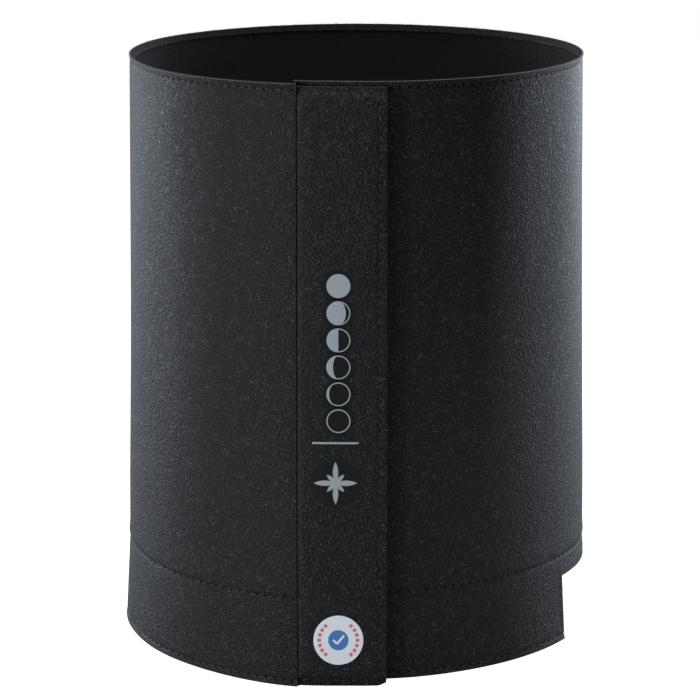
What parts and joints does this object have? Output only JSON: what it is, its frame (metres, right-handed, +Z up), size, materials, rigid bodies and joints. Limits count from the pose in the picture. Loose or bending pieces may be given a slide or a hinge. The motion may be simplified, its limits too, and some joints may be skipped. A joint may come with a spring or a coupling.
{
  "type": "flexible telescope dew shield",
  "caption": "Flexible textured black sheet with a felt lining, rolled into a tube and closed by a full-height hook-and-loop flap, notched to clear a dovetail bar.",
  "frame": {"origin": "on the rolled tube's axis, at the level of its lower edge", "axes": "+Z up along the tube's axis from the telescope end to the open end; -Y is the side with the closure flap"},
  "size_m": [0.241, 0.2444, 0.3048],
  "materials": {
    "textured_sheet": "embossed leather-grain coated sheet, semi-matt",
    "felt": "short-nap felt, matt",
    "band_felt": "folded felt strip, matt",
    "thread": "twisted polyester thread, slight sheen",
    "loop_pile": "brushed loop pile, matt",
    "hook_field": "woven tape with stiff nylon hooks",
    "label_paper": "satin coated paper",
    "grey_ink": "screen-printed ink, matt"
  },
  "bodies": {
    "back": {"back_shell": "textured_sheet", "back_lining": "felt", "back_seat_band": "band_felt", "back_top_stitching": "thread", "back_bottom_stitching": "thread", "back_band_stitching": "thread"},
    "left_wing": {"left_shell": "textured_sheet", "left_lining": "felt", "left_seat_band": "band_felt", "left_edge_stitching": "thread", "left_band_stitching": "thread"},
    "right_wing": {"right_shell": "textured_sheet", "right_lining": "felt", "right_seat_band": "band_felt", "right_edge_stitching": "thread", "right_band_stitching": "thread", "loop_tape": "loop_pile", "loop_tape_stitching": "thread"},
    "flap": {"flap_shell": "textured_sheet", "hook_tape": "hook_field", "flap_stitching": "thread", "round_label": "label_paper", "printed_mark": "grey_ink"}
  },
  "joints": [
    {"name": "left_wing_opens", "type": "hinge", "parent": "back", "child": "left_wing", "pos_m": [-0.10392, 0.06, 0.1524], "axis": [0, 0, -1], "range_deg": [0, 45]},
    {"name": "right_wing_opens", "type": "hinge", "parent": "back", "child": "right_wing", "pos_m": [0.10392, 0.06, 0.1524], "axis": [0, 0, 1], "range_deg": [0, 45]},
    {"name": "flap_peels", "type": "hinge", "parent": "left_wing", "child": "flap", "pos_m": [-0.03016, -0.12007, 0.1524], "axis": [0, 0, -1], "range_deg": [0, 150]}
  ],
  "couplings": [
    {"joint": "right_wing_opens", "follows": "left_wing_opens", "ratio": 1}
  ]
}
